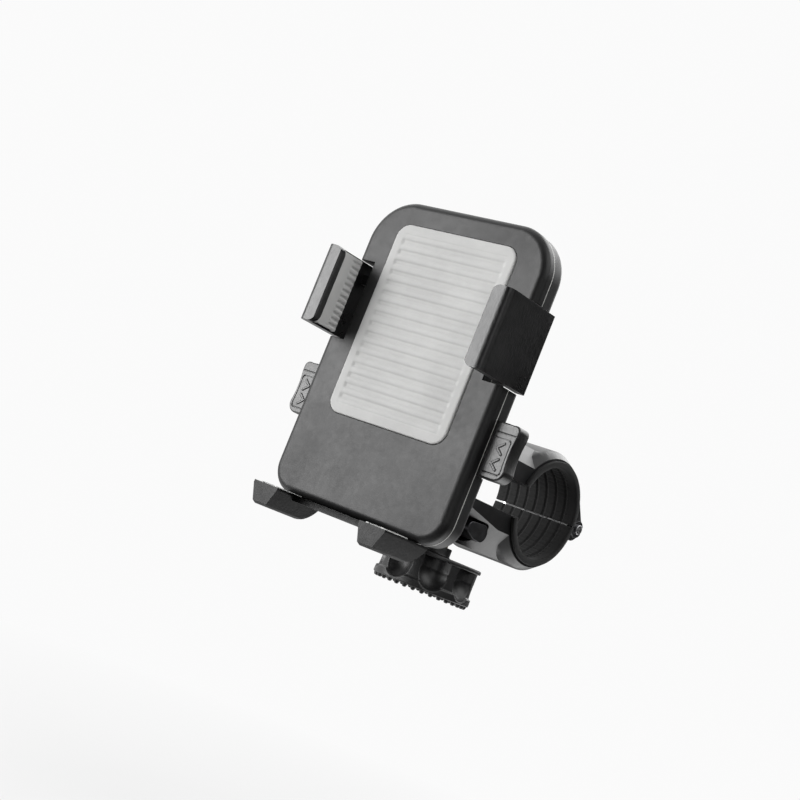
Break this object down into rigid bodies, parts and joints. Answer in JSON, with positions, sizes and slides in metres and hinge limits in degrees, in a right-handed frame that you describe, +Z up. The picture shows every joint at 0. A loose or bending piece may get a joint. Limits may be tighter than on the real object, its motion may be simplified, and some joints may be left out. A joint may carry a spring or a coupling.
{
  "type": "phone handlebar mount",
  "caption": "Phone holder with geared side jaws, release buttons and a sliding foot, on a ball joint and a hinged split clamp for a round handlebar.",
  "frame": {"origin": "centre of the handlebar bore, midway along the clamp", "axes": "+X along the handlebar, -Y the way the phone's screen faces, +Z up along the phone"},
  "size_m": [0.0926, 0.1215, 0.1179],
  "materials": {
    "shell_plastic": "fine moulded grain, satin black",
    "jaw_plastic": "fine moulded grain, satin black",
    "button_plastic": "fine grain, dark grey",
    "foot_plastic": "fine grain, black",
    "clamp_plastic": "glass-filled nylon, satin black",
    "knob_plastic": "satin black",
    "grip_rubber": "soft matt light grey rubber",
    "liner_rubber": "soft matt rubber",
    "acetal": "natural acetal",
    "steel": "bright zinc plated",
    "blackened_steel": "black oxide",
    "spring_steel": "drawn wire",
    "brass": "turned"
  },
  "bodies": {
    "clamp": {"upper_clamp_jaw": "clamp_plastic", "upper_liner": "liner_rubber", "ball_stud": "clamp_plastic", "stud_pin": "steel", "hinge_pin": "steel", "hinge_clip": "blackened_steel", "clamp_bolt": "steel", "bolt_washer": "steel"},
    "lower_jaw": {"lower_clamp_jaw": "clamp_plastic", "lower_liner": "liner_rubber"},
    "trunnion_body": {"trunnion": "blackened_steel", "trunnion_washer": "steel"},
    "knob_body": {"knob": "knob_plastic", "knob_insert": "brass", "knob_cap": "knob_plastic"},
    "ball_liner_body": {"ball_liner": "acetal"},
    "ring": {"locking_ring": "knob_plastic"},
    "cradle": {"front_shell": "shell_plastic", "rear_shell": "shell_plastic", "front_pad": "grip_rubber", "pinion_pin": "steel", "pawl_pins": "steel", "housing_screws": "blackened_steel", "ball_socket": "shell_plastic", "socket_screws": "steel", "foot_detent": "spring_steel", "jaw_spring": "spring_steel", "left_button_spring": "spring_steel", "right_button_spring": "spring_steel"},
    "jaw_left": {"left_jaw": "jaw_plastic", "left_jaw_pad": "grip_rubber"},
    "jaw_right": {"right_jaw": "jaw_plastic", "right_jaw_pad": "grip_rubber"},
    "pinion_body": {"pinion": "acetal"},
    "button_left": {"left_release_button": "button_plastic"},
    "button_right": {"right_release_button": "button_plastic"},
    "pawl_left": {"left_pawl": "acetal"},
    "pawl_right": {"right_pawl": "acetal"},
    "foot": {"foot_bracket": "foot_plastic", "left_foot_pad": "grip_rubber", "right_foot_pad": "grip_rubber"}
  },
  "joints": [
    {"name": "ball_tilt", "type": "hinge", "parent": "clamp", "child": "ball_liner_body", "pos_m": [0, -0.053, 0.0125], "axis": [1, 0, 0], "range_deg": [-18, 18]},
    {"name": "ball_pan", "type": "hinge", "parent": "ball_liner_body", "child": "ring", "pos_m": [0, -0.053, 0.0125], "axis": [0, 0, 1], "range_deg": [-15, 15]},
    {"name": "cradle_turn", "type": "hinge", "parent": "ring", "child": "cradle", "pos_m": [0, -0.053, 0.0125], "axis": [0, 1, 0], "continuous": true},
    {"name": "left_jaw_slide", "type": "slide", "parent": "cradle", "child": "jaw_left", "axis": [-1, 0, 0], "range_m": [-0.0045, 0.014], "deforming": ["jaw_spring"]},
    {"name": "right_jaw_slide", "type": "slide", "parent": "cradle", "child": "jaw_right", "axis": [1, 0, 0], "range_m": [-0.00452, 0.01402]},
    {"name": "pinion_turn", "type": "hinge", "parent": "cradle", "child": "pinion_body", "pos_m": [0, -0.073, 0.0403], "axis": [0, 1, 0], "range_deg": [-161, 52]},
    {"name": "left_button_press", "type": "slide", "parent": "cradle", "child": "button_left", "axis": [1, 0, 0], "range_m": [0, 0.002], "deforming": ["left_button_spring"]},
    {"name": "right_button_press", "type": "slide", "parent": "cradle", "child": "button_right", "axis": [-1, 0, 0], "range_m": [0, 0.002], "deforming": ["right_button_spring"]},
    {"name": "left_pawl_turn", "type": "hinge", "parent": "cradle", "child": "pawl_left", "pos_m": [-0.018, -0.06985, 0.024], "axis": [0, 1, 0], "range_deg": [-8, 0.05]},
    {"name": "right_pawl_turn", "type": "hinge", "parent": "cradle", "child": "pawl_right", "pos_m": [0.018, -0.06985, 0.024], "axis": [0, 1, 0], "range_deg": [-0.05, 8]},
    {"name": "foot_slide", "type": "slide", "parent": "cradle", "child": "foot", "axis": [0, 0, -1], "range_m": [0, 0.015]},
    {"name": "trunnion_travel", "type": "slide", "parent": "clamp", "child": "trunnion_body", "axis": [0, 0, -1], "range_m": [-0.0015, 0.005]},
    {"name": "knob_turn", "type": "hinge", "parent": "trunnion_body", "child": "knob_body", "pos_m": [0, -0.029, -0.033], "axis": [0, 0, 1], "range_deg": [-2260, 685]},
    {"name": "lower_jaw_hinge", "type": "hinge", "parent": "clamp", "child": "lower_jaw", "pos_m": [0, 0.0235, 0], "axis": [1, 0, 0], "range_deg": [-1.65, 5.42]}
  ],
  "couplings": [
    {"joint": "right_jaw_slide", "follows": "left_jaw_slide", "ratio": 1},
    {"joint": "pinion_turn", "follows": "left_jaw_slide", "rad_per_m": -200},
    {"joint": "left_pawl_turn", "follows": "left_button_press", "rad_per_m": -69},
    {"joint": "right_pawl_turn", "follows": "right_button_press", "rad_per_m": 69},
    {"joint": "knob_turn", "follows": "trunnion_travel", "rad_per_m": -7854},
    {"joint": "lower_jaw_hinge", "follows": "trunnion_travel", "rad_per_m": 18.797}
  ]
}
